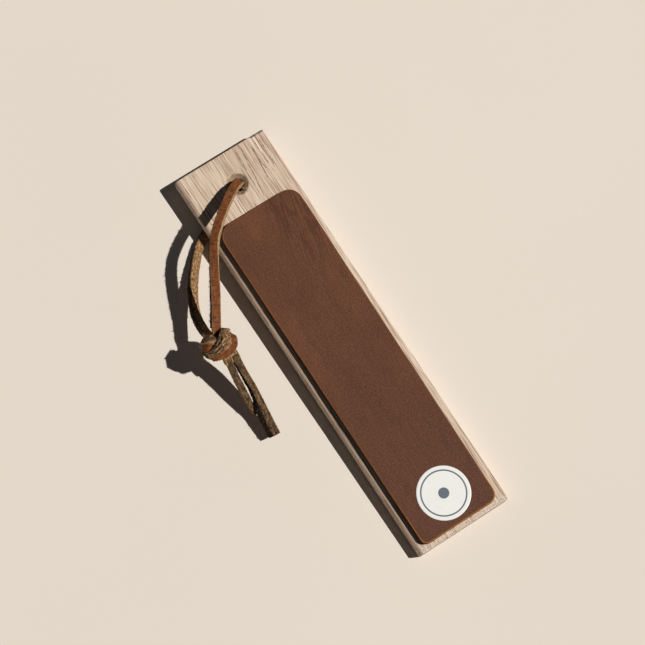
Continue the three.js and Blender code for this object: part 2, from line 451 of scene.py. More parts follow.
def linear(colour):
    """A screen colour, 0 to 255, as the linear values that shaders take."""
    shares = [c / 255 for c in colour]
    return tuple(c / 12.92 if c <= 0.04045 else ((c + 0.055) / 1.055) ** 2.4 for c in shares)


def lace_material():
    shade = Shade("lace_leather", roughness=0.6, specular=0.2)
    place = shade.attribute("place")
    side = shade.split(shade.attribute("side"))
    soil = shade.split(shade.attribute("soil"))[0]

    grain_tone = shade.noise(place, (0.35, 0.9, 0.9), 4, 0.6)
    grain = shade.ramp(grain_tone, (0.3, (96, 51, 22)), (0.5, (125, 70, 32)), (0.7, (149, 88, 45)))
    wrinkles = shade.noise(place, (1.8, 0.4, 0.4), 4, 0.65)
    grain = shade.tint(grain, wrinkles, (0.36, 0.85), (0.5, 0), (66, 34, 16))
    scuffs = shade.noise(place, (0.8, 1.6, 1.6), 5, 0.7)
    grain = shade.tint(grain, scuffs, (0.56, 0), (0.72, 0.5), (168, 112, 68))

    nap = shade.noise(place, (0.7, 1.3, 1.3), 6, 0.75)
    flesh = shade.ramp(
        nap, (0.36, (54, 37, 24)), (0.45, (118, 86, 55)), (0.54, (172, 132, 90)), (0.64, (216, 180, 134))
    )
    patches = shade.noise(shade.shift(place, (5, 9, 2)), (0.28, 0.42, 0.42), 4, 0.65)
    blotchy = shade.ramp(soil, (0, 0.3), (0.1, 1))
    patches = shade.times(blotchy, shade.ramp(patches, (0.4, 0.75), (0.54, 0)))
    flesh = shade.mix(patches, flesh, (44, 32, 23))
    flecks = shade.noise(shade.shift(place, (3, 1, 7)), (0.9, 1.3, 1.3), 3, 0.6)
    flecks = shade.times(blotchy, shade.ramp(flecks, (0.37, 0.95), (0.44, 0)))
    flesh = shade.mix(flecks, flesh, (28, 21, 16))

    layers = shade.noise(place, (0.8, 0.6, 3.2), 4, 0.6)
    cut = shade.ramp(layers, (0.3, (104, 76, 48)), (0.5, (168, 134, 94)), (0.7, (206, 176, 134)))

    colour = shade.mix(side[2], shade.mix(side[1], grain, cut), flesh)
    # Painted shade, mottled: darkened points (cut edges away from the light, the knot's creases and core) are
    # mixed towards near black.
    painted_shade_mottle = shade.noise(place, (0.8, 1, 1), 4, 0.7)
    painted_shade_mottle = shade.ramp(painted_shade_mottle, (0.5, 1), (0.6, 0.85), (0.7, 0.4))
    colour = shade.mix(shade.times(soil, painted_shade_mottle), colour, (26, 19, 14))
    rough = shade.ramp(side[0], (0, 0.92), (1, 0.54))
    pores = shade.noise(place, 5, 3, 0.6)
    fuzz = shade.noise(place, 2.6, 5, 0.7)
    height = shade.mix(side[0], fuzz, shade.plus(shade.times(wrinkles, 1.6), pores))
    return shade.done(colour, rough, shade.bump(height, 0.00025, 0.8))


# ---- the camera
CAMERA_PLACE = Vector((-0.16823, 0.16857, 1.03053))
CAMERA_TARGET = Vector((0.01267, 0.00099, 0))
CAMERA_UP = Vector((0.8196, -0.5251, 0.2293))
CAMERA_LENS = 122.97


def build_camera():
    camera = add_object("camera", bpy.data.cameras.new("camera"))
    camera.data.lens = CAMERA_LENS
    camera.data.sensor_width = 36
    camera.data.clip_start = 0.01
    camera.data.clip_end = 20
    back = (CAMERA_PLACE - CAMERA_TARGET).normalized()
    right = CAMERA_UP.cross(back).normalized()
    up = back.cross(right)
    camera.matrix_world = Matrix.Translation(CAMERA_PLACE) @ Matrix((right, up, back)).transposed().to_4x4()
    bpy.context.scene.camera = camera


# ---- the light and the floor
SUN_TRAVELS = Vector((0.3303, 0.5998, -1))
SUN_STRENGTH = 3.52
SKY_STRENGTH = 0.043
FLOOR_REACH = 3.0


def build_studio():
    scene = bpy.context.scene
    scene.view_settings.view_transform = "Standard"
    sun = add_object("sun", bpy.data.lights.new("sun", "SUN"))
    sun.data.energy = SUN_STRENGTH
    sun.data.angle = math.radians(1)
    sun.data.color = (1, 0.99, 0.975)
    sun.rotation_euler = SUN_TRAVELS.to_track_quat("-Z", "Y").to_euler()
    world = bpy.data.worlds.new("studio")
    world.use_nodes = True
    sky = world.node_tree.nodes["Background"].inputs
    sky["Color"].default_value = (0.92, 0.98, 1.08, 1)
    sky["Strength"].default_value = SKY_STRENGTH
    scene.world = world

    shade = Shade("floor", roughness=0.9, specular=0.1)
    place = shade.node("ShaderNodeTexCoord").outputs["Object"]
    colour = shade.ramp(shade.noise(place, 3, 3, 0.5), (0.3, (230, 219, 205)), (0.7, (233, 222, 208)))
    mesh = bpy.data.meshes.new("floor")
    corners = [(x * FLOOR_REACH, y * FLOOR_REACH, 0) for x, y in ((-1, -1), (1, -1), (1, 1), (-1, 1))]
    mesh.from_pydata(corners, [], [(0, 1, 2, 3)])
    mesh.materials.append(shade.done(colour))
    floor = add_object("floor", mesh)


# ---- the lace
def knot_centre():
    low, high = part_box("lace_knot")
    return np.array((low + high) / 2)


# Bands of the knot, in mm from its centre, on its outer surface. "grain" bands show their smooth side.
KNOT_REACH = np.array([6.5, 9, 7.2])
CORE_INSET = 2.2
# The soiled entry darkens a band's two cut edges and its flesh side, mostly as painted shade in the knot's
# creases.
KNOT_BANDS = {
    "right_outer": dict(shows="grain", closed=True, size=(4.2, 2.6), lean=0.9, soiled=(0.6, 0, 0), points=[
        (-2.8, -7, 3.2), (-4.6, -6.2, 1.8), (-5.9, -4.3, 1.3), (-6.6, -1.6, 1.4), (-6.6, 1.2, 1.2),
        (-5.8, 4.1, 1.8), (-4.7, 6.6, 0.6), (-3.3, 7.3, -2.4), (-1.6, 5.9, -5), (0.4, 2.6, -6.6),
        (2.2, -1.4, -6.4), (2.7, -4.9, -4.6), (1.8, -7.4, -1.6), (-0.4, -8, 1.8)]),
    "right_inner": dict(shows="flesh", closed=True, size=(4.1, 2.6), lean=0, soiled=(0.95, 0, 0.1), points=[
        (2.2, -4.7, 5.8), (-0.3, -4.2, 6.6), (-2, -3, 6.8), (-3.1, -0.9, 6.6), (-3.8, 1.5, 5.9),
        (-3.7, 4.3, 4.8), (-2.8, 6.8, 3.4), (-1.7, 8.8, 0.9), (-1.5, 7.4, -3.2), (-0.4, 3.4, -6.2),
        (1.6, -0.4, -6.8), (3.4, -3.4, -5.4), (4.5, -5.9, -2.4), (4.6, -6.6, 0.8), (3.9, -6.1, 3.6)]),
    "top_sliver": dict(shows="flesh", closed=False, size=(2.6, 2.3), lean=0, soiled=(1, 1, 0.45), points=[
        (4.4, -4.9, 2.6), (3.4, -4.3, 5.1), (2.1, -3, 6.5), (0.3, -1.1, 7.1), (-1.6, 1.1, 6.9),
        (-2.5, 3.6, 5.7), (-2.4, 6, 4.1), (-1.4, 8, 1.8), (-0.4, 8.4, -0.8), (0.6, 7, -3.4),
        (1.2, 4.4, -4.8)]),
    "left_inner": dict(shows="flesh", closed=False, size=(4.4, 2.6), lean=0, soiled=(0.5, 0, 0.22), points=[
        (1.9, -0.5, 1.4), (2.4, 0.4, 3.4), (2.9, 1.6, 5.2), (3.5, 2.9, 5.5), (4.4, 4.3, 4.3),
        (5.1, 6, 1.9), (5.3, 6.8, -0.8), (4.8, 5.6, -3.6), (4.1, 3, -5.6), (3.8, -0.2, -6.2),
        (3.8, -3.2, -5), (3.4, -4.6, -3.4)]),
    "left_outer": dict(shows="grain", closed=False, size=(4.2, 2.5), lean=0, soiled=(0.9, 0, 0), points=[
        (-0.9, 3.2, 1.6), (-0.5, 4.1, 3.7), (0.2, 5.3, 5.1), (1, 6.7, 4.6), (2, 8, 2.5),
        (2.4, 8.4, -0.2), (2, 7.2, -3.4), (1.4, 4.6, -5.6), (0.9, 1.2, -6.5), (0.6, -2, -5.8)]),
}
# Short lengths that carry the strands and the tails on into the knot, in metres.
KNOT_STUBS = [
    (UPPER_ROUTE[-2:], UPPER_FACES[19], (-0.0042, 0.002, -0.0012)),
    (LOWER_ROUTE[-2:], LOWER_FACES[21], (-0.0042, -0.0006, 0.0026)),
    (LONG_TAIL_ROUTE[1::-1], LONG_TAIL_FACES[0], (0.0042, 0.0008, 0.0014)),
    (SHORT_TAIL_ROUTE[1::-1], SHORT_TAIL_FACES[0], (0.0042, 0, 0.0012)),
]


def build_knot(material):
    centre = knot_centre()
    knot = Lace()
    for number, (name, band) in enumerate(KNOT_BANDS.items()):
        width, thickness = (size * MM for size in band["size"])
        outer = np.array(band["points"])
        outward = unit(outer / KNOT_REACH ** 2)
        route = centre + (outer * MM - outward * thickness / 2)
        sign = 1 if band["shows"] == "grain" else -1
        leaning = unit(outward + np.outer(outer[:, 2] > 0, (0, 0, band["lean"])))
        facing = {k: tuple(direction * sign) for k, direction in enumerate(leaning)}
        if band["closed"]:
            facing[len(outer)] = facing[0]
        knot.strip(route, facing, 60 + 7 * number, width, thickness, band["closed"],
                   creased=((0.006, 0.004), (0.02, 0.006)), torn=(2, 2), hairs=(3, 3),
                   shreds=(0.7, 0.7), soiled=band["soiled"])
    for number, (ends, face, onward) in enumerate(KNOT_STUBS):
        start, end = (np.array(point) for point in ends)
        route = [start, end, end + np.array(onward) * 0.5, end + np.array(onward)]
        knot.strip(route, {0: face, 3: face}, 130 + 5 * number, LACE_WIDTH * 0.97, LACE_THICKNESS * 0.95)
    add_core(knot, centre)
    piece = knot.build("knot", material)
    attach(piece, "lace")
    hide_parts("lace_knot")
    return piece


def add_core(knot, centre):
    """The lace that is pulled tight inside the knot: a lump between its bands, coloured dark as painted shade."""
    turns, heights = 24, 14
    reach = (KNOT_REACH - CORE_INSET) * MM
    rows = []
    for h in range(heights + 1):
        lift = -math.pi / 2 + math.pi * h / heights
        row = []
        for t in range(turns):
            turn = 2 * math.pi * t / turns
            level = math.cos(lift)
            away = np.array([level * math.cos(turn), level * math.sin(turn), math.sin(lift)])
            bumpy = 1 + 0.06 * noise.noise(Vector(away * 2.5))
            # 0.9 marks the whole lump for painted shade.
            row.append(knot.vertex(Vector(centre + away * reach * bumpy), tuple(away * 5), 2, 0.9))
        rows.append(row)
    knot.faces += bridge(rows)


def lace_piece(name, route, facing, length, far_end, knot, material, **look):
    lace = Lace()
    lace.strip(route, facing, **look)
    piece = lace.build(name, material)
    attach(piece, "lace")
    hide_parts("lace_" + name)
    path = [tuple(point) for point in smooth_route(route)[0][::2]]
    return piece


def build_lace():
    material = lace_material()
    knot = build_knot(material)
    lace_piece("upper_strand", UPPER_ROUTE, UPPER_FACES, UPPER_LENGTH, "knot", knot,
               material, seed=1, creased=((0.004, 0.004), (0.076, 0.02)), torn=(0.5, 2.6), hairs=(0.8, 5),
               shreds=(0, 1.6), soiled=(0, 0.97, 0.2),
               widths=((0, 0.8, 0.72), (0.02, 1, 0.78), (0.06, 1.08, 0.8), (0.12, 1, 1), (0.55, 1, 1),
                       (0.7, 1, 1.12), (1, 1, 1.2)))
    lace_piece("lower_strand", LOWER_ROUTE, LOWER_FACES, LOWER_LENGTH, "knot", knot,
               material, seed=2, creased=((0.005, 0.004),), torn=(2.4, 1.2), hairs=(4.5, 2.5),
               widths=((0, 0.72, 0.72), (0.06, 0.8, 0.8), (0.12, 1, 1), (1, 1, 1)), soiled=(0.95, 0.1, 0))
    lace_piece("long_tail", LONG_TAIL_ROUTE, LONG_TAIL_FACES, LONG_TAIL_LENGTH, "bare",
               knot, material, seed=3, thickness=LONG_TAIL_THICKNESS, torn=(1.9, 1), hairs=(6, 2),
               widths=((0, 0.78, 0.86), (0.3, 0.62, 0.94), (0.45, 0.5, 1.02), (0.6, 0.8, 1), (0.7, 0.95, 1),
                       (1, 1, 1)),
               slants=((0, 0), (0.55, 0), (0.68, 1.3), (0.9, 1.35), (1, 1)), soiled=(0.97, 0.2, 0.55))
    lace_piece("short_tail", SHORT_TAIL_ROUTE, SHORT_TAIL_FACES, SHORT_TAIL_LENGTH, "bare",
               knot, material, seed=4, torn=(1.2, 2), hairs=(2.2, 4),
               widths=((0, 0.62, 0.74), (0.3, 0.64, 0.66), (0.6, 0.74, 0.7), (1, 0.5, 0.5)),
               soiled=(0.3, 0.95, 0.55))


# ---- the paddle's own frame
# Paddle pieces are made flat, with z = 0 at the board's underside and x = y = 0 at its middle, and then
# turned by the paddle's tilt. Their "place" attribute keeps the flat position in mm for the materials.
NORMAL = Vector(MOUNTS["stropping_face"]["axis"]).normalized()
ACROSS = Vector((0, 1, 0))
ALONG = ACROSS.cross(NORMAL).normalized()
TURN = Matrix((ALONG, ACROSS, NORMAL)).transposed()


def paddle_extent(node):
    """Lowest and highest values of a node's corners along the paddle's three axes."""
    corners = np.array([TURN.transposed() @ v.co for v in frame["nodes"][node].data.vertices])
    return corners.min(0), corners.max(0)


BOARD_LOW, BOARD_HIGH = paddle_extent("timber_board")
PADDLE_ORIGIN = np.array([(BOARD_LOW[0] + BOARD_HIGH[0]) / 2, 0, BOARD_LOW[2]])
BOARD_SIZE = BOARD_HIGH - BOARD_LOW
PADDLE_MATRIX = TURN.to_4x4() @ Matrix.Translation(Vector(PADDLE_ORIGIN))


def on_paddle(node):
    """A node's middle and size in the paddle's own frame, with the middle at its underside."""
    low, high = paddle_extent(node)
    middle = (low + high) / 2 - PADDLE_ORIGIN
    return Vector((middle[0], middle[1], low[2] - PADDLE_ORIGIN[2])), high - low


def finish_paddle_piece(mesh, name, node, materials):
    """Turns a flat mesh into the paddle's place, gives it its materials, hangs it on the paddle and hides its CAD
    part.
    """
    add_attribute(mesh, "place", [tuple(v.co / MM) for v in mesh.vertices])
    mesh.transform(PADDLE_MATRIX)
    for material in materials:
        mesh.materials.append(material)
    piece = add_object(name, mesh)
    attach(piece, "paddle")
    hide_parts(node)
    return piece


def spread(low, high, step):
    return np.linspace(low, high, max(2, round((high - low) / step) + 1))


def rounded_over(radius, top):
    """Profile points from an upright side up to a face at the height top, round an arris of that radius."""
    turns = np.linspace(0, math.pi / 2, 5)
    return [(radius * (1 - math.cos(turn)), top - radius * (1 - math.sin(turn))) for turn in turns]


def slab(size, radii, profile, step, push):
    """A flat piece with round corners, gridded above and below. radii are those of its corners at (-x, -y),
    (+x, -y), (-x, +y) and (+x, +y). profile lists (inward, height) up the side from the underside to the
    top; push(point, outward, level) tells how far a point of the smooth slab is moved."""
    half_x, half_y = size[0] / 2, size[1] / 2
    near, far = max(radii[:2]), max(radii[2:])
    arc = [math.sin(a) for a in np.linspace(0, math.pi / 2, 11)]
    rows_y = [-half_y + near - near * a for a in reversed(arc)]
    rows_y += list(spread(-half_y + near, half_y - far, step))[1:-1]
    rows_y += [half_y - far + far * a for a in arc]
    columns = spread(-1, 1, step / half_x)

    def radius_at(x, y):
        return radii[(x > 0) + 2 * (y > 0)]

    def row_reach(x_sign, y):
        corner = radius_at(x_sign, y)
        over = max(0, abs(y) - (half_y - corner))
        return half_x - corner + math.sqrt(max(0, corner ** 2 - over ** 2))

    def rim():
        last_row, last_column = len(rows_y) - 1, len(columns) - 1
        loop = [(0, c) for c in range(last_column)]
        loop += [(r, last_column) for r in range(last_row)]
        loop += [(last_row, c) for c in range(last_column, 0, -1)]
        return loop + [(r, 0) for r in range(last_row, 0, -1)]

    def flat_point(row, column):
        y = rows_y[row]
        share = (columns[column] + 1) / 2
        return Vector((row_reach(1, y) * share - row_reach(-1, y) * (1 - share), y, 0))

    def outward(point):
        corner = radius_at(point.x, point.y)
        corner_x = max(abs(point.x) - (half_x - corner), 0)
        corner_y = max(abs(point.y) - (half_y - corner), 0)
        away = Vector((math.copysign(corner_x, point.x), math.copysign(corner_y, point.y), 0))
        if away.length > 1e-7:
            return away.normalized()
        return Vector((math.copysign(1, point.x), 0, 0))

    made = bmesh.new()
    loop = rim()
    edge_flat = [flat_point(r, c) for r, c in loop]
    edge_out = [outward(p) for p in edge_flat]

    def placed(point, out, inward, height, level):
        spot = point - out * inward + Vector((0, 0, height))
        return spot + push(spot, out, level)

    levels = []
    for level, (inward, height) in enumerate(profile):
        levels.append([
            made.verts.new(placed(p, out, inward, height, level)) for p, out in zip(edge_flat, edge_out)
        ])
    for face in bridge(levels):
        made.faces.new(face)
    for rim_level, (inward, height), up in ((levels[0], profile[0], False), (levels[-1], profile[-1], True)):
        shrink_x, shrink_y = (half_x - inward) / half_x, (half_y - inward) / half_y
        grid = dict(zip(loop, rim_level))
        for r in range(1, len(rows_y) - 1):
            for c in range(1, len(columns) - 1):
                flat = flat_point(r, c)
                spot = Vector((flat.x * shrink_x, flat.y * shrink_y, height))
                grid[r, c] = made.verts.new(spot + push(spot, Vector(), len(profile) - 1 if up else 0))
        for r in range(len(rows_y) - 1):
            for c in range(len(columns) - 1):
                quad = (grid[r, c], grid[r, c + 1], grid[r + 1, c + 1], grid[r + 1, c])
                made.faces.new(quad if up else quad[::-1])
    for face in made.faces:
        face.smooth = True
    return finished(made, "slab")


def turned(name, side, turns, place):
    """A solid turned about z. side lists (radius, height) from the bottom up, and place(turn, radius, height)
    gives the point there."""
    made = bmesh.new()
    rings = []
    for radius, height in side:
        rings.append([made.verts.new(place(2 * math.pi * t / turns, radius, height)) for t in range(turns)])
    for face in bridge(rings):
        made.faces.new(face).smooth = True
    made.faces.new(rings[0][::-1])
    made.faces.new(rings[-1])
    return finished(made, name)


# ---- the board
BOARD_CORNER = 0.8 * MM
BOARD_EASE = 0.4 * MM
BOARD_GRID = 1.0 * MM
HOLE_RADIUS = 3.25 * MM
SINK_RADIUS = 5.5 * MM
SINK_DEPTH = 2.25 * MM
ROUNDED_RIM = 2.0 * MM
ROUNDED_DROP = 0.8 * MM
SPLINTERS = 26
END_SHADE_REACH = 0.5


def hole_place():
    """The hole's middle at mid thickness, in the paddle's own frame: the lace swings about it."""
    swing = next(joint for joint in frame["joints"] if joint["name"] == "lace_swing")
    return PADDLE_MATRIX.inverted() @ Vector(swing["pos_m"])


def board_push(point, out, level):
    """Uneven easing of the rims, faint hollows from sanding, and the left rim rounded over above."""
    place = point / MM
    inset = BOARD_SIZE[1] / 2 - point.y
    lowered = Vector()
    if inset < ROUNDED_RIM and point.z > 0.75 * BOARD_SIZE[2]:
        lowered.z = -ROUNDED_DROP * (1 - inset / ROUNDED_RIM) ** 1.5
    wear = noise.noise((place.x * 0.05, place.y * 0.05, level * 0.4 + 3))
    wear += 0.5 * noise.noise((place.x * 0.3, place.y * 0.3, level + 9))
    hollow = 0.03 * noise.noise((place.x * 0.03, place.y * 0.09, place.z))
    if out.length:
        return lowered - out * max(0, wear) * 0.16 * MM
    return lowered + Vector((0, 0, hollow * MM if level else 0))


def board_mesh():
    thickness = BOARD_SIZE[2]
    upper_arris = rounded_over(BOARD_EASE, thickness)
    profile = [(inward, thickness - height) for inward, height in reversed(upper_arris)]
    profile += [(0, thickness * share) for share in (0.3, 0.5, 0.7)]
    profile += upper_arris
    return slab((BOARD_SIZE[0], BOARD_SIZE[1]), [BOARD_CORNER] * 4, profile, BOARD_GRID, board_push)


def hole_cutter():
    """The drill and both countersinks as one turned solid, a little ragged where it meets the faces."""
    thickness = BOARD_SIZE[2]
    soft = 0.25 * MM
    side = [(SINK_RADIUS + 0.6 * MM, -0.6 * MM), (SINK_RADIUS + soft, -0.03 * MM)]
    for share in np.linspace(0, 1, 6):
        narrowing = (HOLE_RADIUS - SINK_RADIUS + 2 * soft) * share
        side.append((SINK_RADIUS - soft + narrowing, 0.3 * MM + (SINK_DEPTH - 0.5 * MM) * share))
    side += [(HOLE_RADIUS, SINK_DEPTH + 0.2 * MM)]
    side += [(radius, thickness - height) for radius, height in reversed(side)]

    def ragged(turn, radius, height):
        around = Vector((math.cos(turn), math.sin(turn), 0))
        chip = noise.noise(around * 4 + Vector((0, 0, height / MM)))
        chip += 0.8 * noise.noise(around * 11 + Vector((5, 0, height / MM * 2)))
        reach = radius + 0.2 * MM * chip * (1 if radius > HOLE_RADIUS + soft else 0.4)
        return around * reach + Vector((0, 0, height))

    cutter = add_object("cutter", turned("cutter", side, 96, ragged))
    spot = hole_place()
    cutter.location = (spot.x, spot.y, 0)
    return cutter


def add_splinters(mesh):
    """Wood torn up by the countersink, all on the side of the hole towards the pad."""
    spot = hole_place()
    thickness = BOARD_SIZE[2]
    made = bmesh.new()
    made.from_mesh(mesh)
    for _ in range(SPLINTERS):
        turn = math.pi + random.uniform(-1.15, 0.75)
        reach = random.uniform(HOLE_RADIUS, SINK_RADIUS + 0.3 * MM)
        depth = SINK_DEPTH * min(1, max(0, (SINK_RADIUS - reach) / (SINK_RADIUS - HOLE_RADIUS)))
        middle = Vector((spot.x + math.cos(turn) * reach, spot.y + math.sin(turn) * reach, thickness - depth))
        size = random.uniform(0.3, 0.6) * MM
        corners = [Vector((a, b, c)) for a, b, c in ((1, 1, 1), (1, -1, -1), (-1, 1, -1), (-1, -1, 1))]
        points = [
            made.verts.new(middle + Vector([axis * size * random.uniform(0.5, 1.2) for axis in corner]))
            for corner in corners
        ]
        for a, b, c in ((0, 1, 2), (0, 3, 1), (0, 2, 3), (1, 3, 2)):
            made.faces.new((points[a], points[b], points[c])).material_index = 1
    made.to_mesh(mesh)
    made.free()


def build_board():
    blank = add_object("blank", board_mesh())
    cutter = hole_cutter()
    cut = blank.modifiers.new("hole", "BOOLEAN")
    cut.operation = "DIFFERENCE"
    cut.solver = "EXACT"
    cut.object = cutter
    bpy.context.view_layer.update()
    mesh = bpy.data.meshes.new_from_object(blank.evaluated_get(bpy.context.evaluated_depsgraph_get()))
    bpy.data.objects.remove(blank)
    bpy.data.objects.remove(cutter)
    mesh.materials.clear()
    spot = hole_place()
    for polygon in mesh.polygons:
        away = math.hypot(polygon.center.x - spot.x, polygon.center.y - spot.y)
        polygon.material_index = 1 if away < SINK_RADIUS and abs(polygon.normal.z) < 0.95 else 0
        polygon.use_smooth = abs(polygon.normal.z) < 0.9999
    add_splinters(mesh)
    materials = [timber_material(False), timber_material(True)]
    finish_paddle_piece(mesh, "board", "timber_board", materials)


# Dark streaks of the wood's figure near the hole end: where each begins and ends, in mm, and its width.
FIGURE = [
    ((102.5, -15.9), (84, -14), 0.36), ((97.5, -15.2), (89, -16.2), 0.3),
    ((104.5, -21.2), (88, -20.6), 0.3), ((105.8, -11.3), (77, -7.6), 0.36),
    ((105.8, -8.1), (80.5, -6.6), 0.3), ((104, -18.4), (90.5, -18.4), 0.28),
]


def timber_figure(shade, place):
    """How much of a point lies in one of the FIGURE streaks, 0 to 1."""
    waver = shade.noise(place, (0.2, 0.5, 0.5), 4, 0.65)
    x, y = shade.split(shade.shift_y(place, shade.times(shade.minus(waver, 0.5), 1.6)))[:2]
    patchy = shade.ramp(shade.noise(place, (0.4, 1.2, 1.2), 3, 0.6), (0.32, 0.25), (0.55, 1))
    total = 0.0
    for (start_x, start_y), (end_x, end_y), width in FIGURE:
        slope = (end_y - start_y) / (end_x - start_x)
        level = start_y - slope * start_x
        off = shade.minus(y, shade.plus(shade.times(x, slope), level))
        beside = shade.math("DIVIDE", shade.math("ABSOLUTE", off), width)
        middle, half = (start_x + end_x) / 2, abs(start_x - end_x) / 2
        beyond = shade.math("DIVIDE", shade.math("ABSOLUTE", shade.minus(x, middle)), half)
        streak = shade.times(shade.rise(beside, 1, 0.35), shade.rise(beyond, 1, 0.8))
        total = shade.math("MAXIMUM", total, streak)
    return shade.times(total, patchy)


def timber_material(bored):
    shade = Shade("bored_timber" if bored else "timber", roughness=0.7, specular=0.25)
    place = shade.attribute("place")
    x, y, z = shade.split(place)
    drift = shade.noise(place, (0.012, 0.05, 0.05), 2, 0.5)
    bent = shade.shift_y(place, shade.times(drift, 4))
    silky = shade.noise(bent, (0.045, 3.2, 3.2), 3, 0.6)
    base, lines = timber_grain(shade, bent, silky)
    figure = timber_figure(shade, place)
    base = shade.mix(shade.times(figure, 0.85), base, (122, 84, 64))

    label_margin = shade.rise(x, -103.5, -104.5)
    pits = shade.ramp(shade.noise(place, 1, 4, 0.75), (0.38, 1), (0.46, 0))
    base = shade.mix(shade.times(label_margin, 0.4), base, (232, 218, 200))
    base = shade.mix(shade.times(shade.times(label_margin, pits), 0.85), base, (124, 84, 58))
    # Painted shade: the wood on the rounded-over left rim, which is turned away from the light, is coloured
    # darker.
    painted_rim_shade = shade.times(shade.rise(z, 6.8, 7.2), shade.rise(y, 22.75, 23.75, 0.5))
    base = shade.mix(painted_rim_shade, base, (146, 116, 92))

    facing = shade.split(shade.node("ShaderNodeNewGeometry").outputs["Normal"])[0]
    end_grain = shade.rise(shade.math("ABSOLUTE", facing), 0.72, 0.9)
    end = shade.tint((176, 148, 120), shade.cells(place, 1.6), (0.08, 1), (0.3, 0), (104, 72, 52))
    colour = shade.mix(end_grain, base, end)
    # Painted shade along the hole end's eased edge, which is turned away from the light.
    colour = shade.mix(painted_end_shade(shade, place, x, y), colour, (48, 32, 26))
    if bored:
        colour = shade.mix(0.75, colour, (158, 128, 98))
        burr = shade.noise(place, (1.4, 1.4, 2.5), 5, 0.75)
        colour = shade.tint(colour, burr, (0.36, 0.9), (0.47, 0), (84, 56, 38))
        colour = shade.tint(colour, burr, (0.54, 0), (0.64, 0.8), (216, 192, 154))
    height = shade.minus(shade.times(silky, 0.5), lines)
    return shade.done(colour, shade.ramp(silky, (0.3, 0.8), (0.7, 0.62)), shade.bump(height, 0.00014, 0.8))


def timber_grain(shade, bent, silky):
    """The colour of the long grain, and how deep its vessel lines are."""
    broad = shade.noise(bent, (0.01, 0.16, 0.2), 3, 0.5)
    base = shade.ramp(broad, (0.3, (210, 185, 160)), (0.5, (220, 197, 172)), (0.7, (228, 207, 184)))
    base = shade.tint(base, silky, (0.38, 0.55), (0.5, 0), (182, 142, 118))
    pale = shade.noise(bent, (0.052, 2.34, 2.34), 3, 0.6)
    base = shade.tint(base, pale, (0.55, 0), (0.64, 0.8), (242, 226, 207))

    where = shade.noise(bent, (0.02, 0.12, 0.12), 2, 0.5)
    vessels = shade.noise(bent, (0.014, 0.95, 0.95), 2, 0.45)
    line = shade.ramp(shade.math("ABSOLUTE", shade.minus(vessels, 0.5)), (0.002, 1), (0.009, 0))
    line = shade.times(line, shade.ramp(where, (0.4, 0.3), (0.6, 1)))
    base = shade.mix(line, base, (150, 106, 84))
    dash = 0.0
    for number, (length_wise, across) in enumerate(((0.024, 1.5), (0.038, 1.7), (0.02, 1.2), (0.03, 1.35))):
        moved = shade.shift(bent, (13.0 * number, 7.3 * number, 2.1))
        cells = shade.cells(moved, (length_wise, across, across))
        dash = shade.math("MAXIMUM", dash, shade.ramp(cells, (0.14, 1), (0.24, 0)))
    dash = shade.times(dash, shade.ramp(where, (0.34, 1), (0.62, 0.55)))
    return shade.mix(dash, base, (146, 96, 74)), shade.plus(dash, line)


def painted_end_shade(shade, place, x, y):
    """Painted shade on a point: a thin strip along the hole end's edge, wider at its right corner."""
    patchy = shade.ramp(shade.noise(place, (0.5, 0.25, 0.5), 4, 0.7), (0.35, 1), (0.6, 0.5))
    in_corner = shade.rise(y, -16.5, -18.5)
    reach = shade.plus(shade.times(in_corner, 0.7), END_SHADE_REACH)
    inside = shade.plus(shade.minus(x, BOARD_SIZE[0] / 2 / MM), reach)
    end_shade = shade.times(shade.rise(inside, 0, 0.25), patchy)
    return shade.times(end_shade, shade.plus(shade.times(in_corner, 0.3), 0.65))


# ---- the glue line and the leather pad
# The pad's long edges, y at the label end and at the hole end, and its corner radii in slab's order.
PAD_RIGHT_EDGE = (-20.8 * MM, -22.3 * MM)
PAD_LEFT_EDGE = (21.4 * MM, 21.8 * MM)
PAD_RADII = [5.2 * MM, 6.9 * MM, 3.6 * MM, 7.6 * MM]
GLUE_INSET = 0.6 * MM
GLUE_TOP = 0.32 * MM
PAD_BASE = 0.26 * MM
PAD_ARRIS = 0.4 * MM
PAD_GRID = 1.2 * MM
GLUE_GRID = 2.0 * MM


def edge_distances(mesh, size, radii):
    """Each point's distance in mm from the nearest edge of a slab, before its long edges are moved."""
    rows = []
    for v in mesh.vertices:
        radius = radii[(v.co.x > 0) + 2 * (v.co.y > 0)]
        over_x = abs(v.co.x) - (size[0] / 2 - radius)
        over_y = abs(v.co.y) - (size[1] / 2 - radius)
        outside = math.hypot(max(over_x, 0), max(over_y, 0)) + min(max(over_x, over_y), 0)
        rows.append(((radius - outside) / MM, 0, 0))
    return rows


def taper(mesh, size, inset=0):
    """Moves a straight slab's long edges to those of the pad, drawn in by inset."""
    for v in mesh.vertices:
        toward_hole = v.co.x / size[0] + 0.5
        right = PAD_RIGHT_EDGE[0] + (PAD_RIGHT_EDGE[1] - PAD_RIGHT_EDGE[0]) * toward_hole + inset
        left = PAD_LEFT_EDGE[0] + (PAD_LEFT_EDGE[1] - PAD_LEFT_EDGE[0]) * toward_hole - inset
        v.co.y = right + (left - right) * (v.co.y / size[1] + 0.5)


